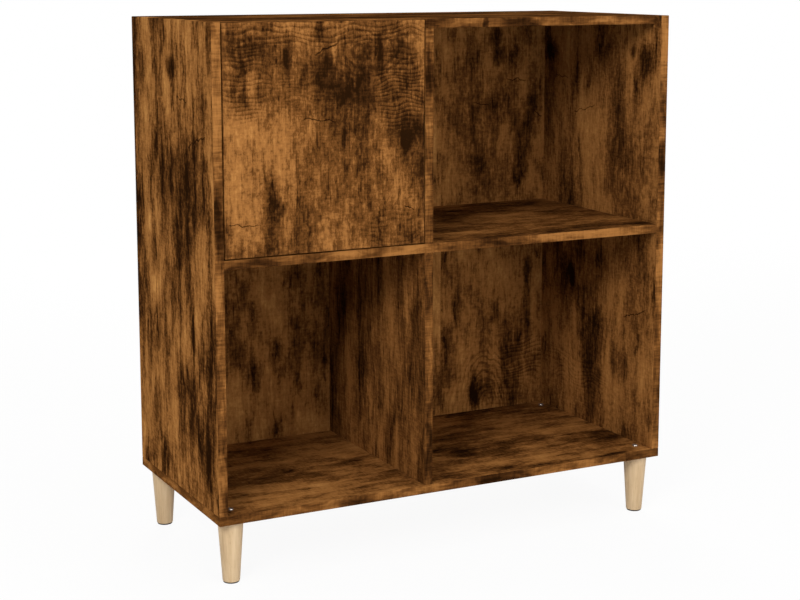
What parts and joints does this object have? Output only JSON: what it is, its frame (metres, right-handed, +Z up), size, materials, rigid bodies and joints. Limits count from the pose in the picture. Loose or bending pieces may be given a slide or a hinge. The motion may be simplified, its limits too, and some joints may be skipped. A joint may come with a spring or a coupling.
{
  "type": "record cabinet",
  "caption": "Cabinet on turned legs for keeping and showing records: open bays and a bay behind an inset door that swings on concealed hinges and is held by a push latch.",
  "frame": {"origin": "on the floor, under the middle of the cabinet's outline", "axes": "+X to the right seen from the front, -Y to the front where the door and the open bays are, +Z up"},
  "size_m": [0.845, 0.38, 0.894],
  "materials": {
    "smoked_oak": "satin smoked-oak decor on chipboard",
    "door_oak": "satin smoked-oak decor on chipboard",
    "back_oak": "satin smoked-oak decor on hardboard",
    "leg_wood": "light beech, clear satin lacquer",
    "dowel_wood": "bare wood",
    "nickel_steel": "nickel plated",
    "pin_steel": "bright",
    "zinc_screws": "zinc plated",
    "black_bolt": "dark zinc plated",
    "cam_zinc": "cast zinc",
    "insert_brass": "plain",
    "magnet_steel": "nickel plated magnet",
    "grey_plastic": "light grey",
    "dark_plastic": "dark brown"
  },
  "bodies": {
    "cabinet": {"left_side": "smoked_oak", "right_side": "smoked_oak", "top_panel": "smoked_oak", "bottom_panel": "smoked_oak", "middle_shelf": "smoked_oak", "upper_divider": "smoked_oak", "lower_divider": "smoked_oak", "back_board": "back_oak", "lower_hinge_arm": "nickel_steel", "upper_hinge_arm": "nickel_steel", "hinge_arm_screws": "zinc_screws", "latch_housing": "grey_plastic", "latch_screws": "zinc_screws", "leg_front_left": "leg_wood", "leg_rear_left": "leg_wood", "leg_front_right": "leg_wood", "leg_rear_right": "leg_wood", "glide_front_left": "dark_plastic", "glide_rear_left": "dark_plastic", "glide_front_right": "dark_plastic", "glide_rear_right": "dark_plastic", "glide_pins": "pin_steel", "leg_inserts": "insert_brass", "leg_bolts": "black_bolt", "cam_discs": "cam_zinc", "cam_bolts": "cam_zinc", "wood_dowels": "dowel_wood", "carcass_screws": "zinc_screws"},
    "door": {"door": "door_oak", "lower_hinge_cup": "nickel_steel", "upper_hinge_cup": "nickel_steel", "lower_hinge_pin": "pin_steel", "upper_hinge_pin": "pin_steel", "hinge_cup_screws": "zinc_screws", "strike_plate": "nickel_steel", "strike_screw": "zinc_screws"},
    "latch_plunger": {"latch_plunger": "grey_plastic", "latch_magnet": "magnet_steel"}
  },
  "joints": [
    {"name": "door_hinge", "type": "hinge", "parent": "cabinet", "child": "door", "pos_m": [-0.3968, -0.184, 0.71175], "axis": [0, 0, -1], "range_deg": [0, 95]},
    {"name": "latch_press", "type": "slide", "parent": "cabinet", "child": "latch_plunger", "axis": [0, 1, 0], "range_m": [0, 0.003], "stiffness_N_per_m": 400}
  ]
}
